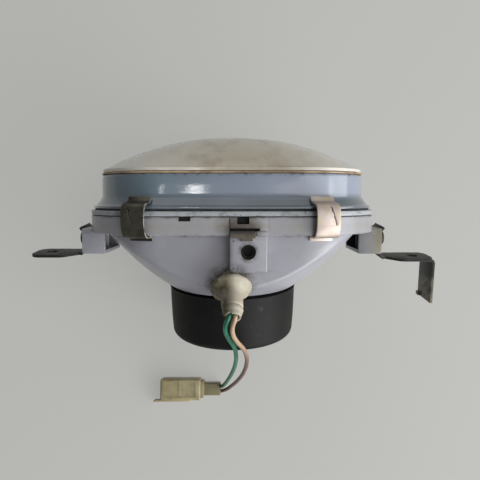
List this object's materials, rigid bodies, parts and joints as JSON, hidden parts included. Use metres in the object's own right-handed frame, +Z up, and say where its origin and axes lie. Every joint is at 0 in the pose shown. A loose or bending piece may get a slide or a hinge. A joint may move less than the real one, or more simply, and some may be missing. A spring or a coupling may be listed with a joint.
{
  "type": "scooter headlight",
  "caption": "Rounded rectangular scooter headlight with domed glass, painted rim held by spring clips, rear bowl with rubber boot, side brackets, parking lamp holder and wired connector.",
  "frame": {"origin": "bottom centre of the lamp as it lies, without the wires and connector", "axes": "+X across the lamp to the side of the bracket with a leg, +Y towards the lens, +Z up, to the underside of the lamp"},
  "size_m": [0.238, 0.1648, 0.1111],
  "materials": {
    "lens_glass": "clear, slightly yellowed",
    "lens_sealant": "matt",
    "rim_paint": "glossy",
    "rim_gasket": "matt",
    "reflector_metal": "bright",
    "housing_plastic": "glossy",
    "clip_dark_zinc": "aged olive zinc",
    "clip_bright_zinc": "bright yellow zinc",
    "bracket_steel": "worn olive black",
    "screw_steel": "aged",
    "washer_steel": "aged",
    "nut_steel": "dark",
    "strip_steel": "rusty",
    "boot_rubber": "matt",
    "ring_steel": "plain",
    "spring_steel": "plain",
    "bulb_flange_metal": "plain",
    "bulb_cap_metal": "plain",
    "bulb_glass": "clear",
    "filament_metal": "plain",
    "bulb_insulator": "glossy",
    "contact_metal": "plain",
    "holder_plastic": "cream, stained",
    "socket_brass": "plain",
    "green_insulation": "semi gloss",
    "brown_insulation": "semi gloss",
    "connector_nylon": "yellowed, translucent",
    "latch_nylon": "yellowed",
    "terminal_brass": "plain",
    "seal_rubber": "matt"
  },
  "bodies": {
    "lamp": {"lens_glass": "lens_glass", "lens_sealant": "lens_sealant", "front_rim": "rim_paint", "rim_gasket": "rim_gasket", "reflector": "reflector_metal", "rear_housing": "housing_plastic", "left_pivot_screw": "screw_steel", "right_pivot_screw": "screw_steel", "left_pivot_washer": "washer_steel", "right_pivot_washer": "washer_steel", "adjuster_nut": "nut_steel", "adjuster_strip": "strip_steel", "bulb_boot": "boot_rubber", "bulb_seat_ring": "ring_steel", "bulb_retaining_spring": "spring_steel", "main_bulb_flange": "bulb_flange_metal", "main_bulb_cap": "bulb_cap_metal", "main_bulb_glass": "bulb_glass", "main_bulb_filaments": "filament_metal", "main_bulb_insulator": "bulb_insulator", "main_bulb_contacts": "contact_metal", "parking_lamp_holder": "holder_plastic", "parking_socket_shell": "socket_brass", "parking_bulb_cap": "bulb_cap_metal", "parking_bulb_glass": "bulb_glass", "green_wire": "green_insulation", "brown_wire": "brown_insulation", "connector_housing": "connector_nylon", "connector_green_terminal": "terminal_brass", "connector_brown_terminal": "terminal_brass", "connector_wire_seal": "seal_rubber"},
    "clip_lower_left": {"clip_lower_left": "clip_dark_zinc"},
    "clip_lower_right": {"clip_lower_right": "clip_bright_zinc"},
    "clip_upper_left": {"clip_upper_left": "clip_dark_zinc"},
    "clip_upper_right": {"clip_upper_right": "clip_dark_zinc"},
    "left_bracket": {"left_bracket": "bracket_steel"},
    "right_bracket": {"right_bracket": "bracket_steel"},
    "connector_latch": {"connector_latch": "latch_nylon"}
  },
  "joints": [
    {"name": "clip_lower_left_pull", "type": "slide", "parent": "lamp", "child": "clip_lower_left", "axis": [-0.2444, -0.2255, 0.9431], "range_m": [0, 0.01]},
    {"name": "clip_lower_right_pull", "type": "slide", "parent": "lamp", "child": "clip_lower_right", "axis": [0.2444, -0.2255, 0.9431], "range_m": [0, 0.01]},
    {"name": "clip_upper_left_pull", "type": "slide", "parent": "lamp", "child": "clip_upper_left", "axis": [-0.2444, 0.2255, -0.9431], "range_m": [0, 0.01]},
    {"name": "clip_upper_right_pull", "type": "slide", "parent": "lamp", "child": "clip_upper_right", "axis": [0.2444, 0.2255, -0.9431], "range_m": [0, 0.01]},
    {"name": "left_bracket_pivot", "type": "hinge", "parent": "lamp", "child": "left_bracket", "pos_m": [0, 0.00276, 0.05643], "axis": [1, 0, 0], "range_deg": [-20, 20]},
    {"name": "right_bracket_pivot", "type": "hinge", "parent": "lamp", "child": "right_bracket", "pos_m": [0, 0.00276, 0.05643], "axis": [1, 0, 0], "range_deg": [-20, 20]},
    {"name": "latch_flex", "type": "hinge", "parent": "lamp", "child": "connector_latch", "pos_m": [-0.0298, -0.1012, 0.0035], "axis": [0, 0, 1], "range_deg": [0, 8], "stiffness_Nm_per_rad": 0.02}
  ]
}
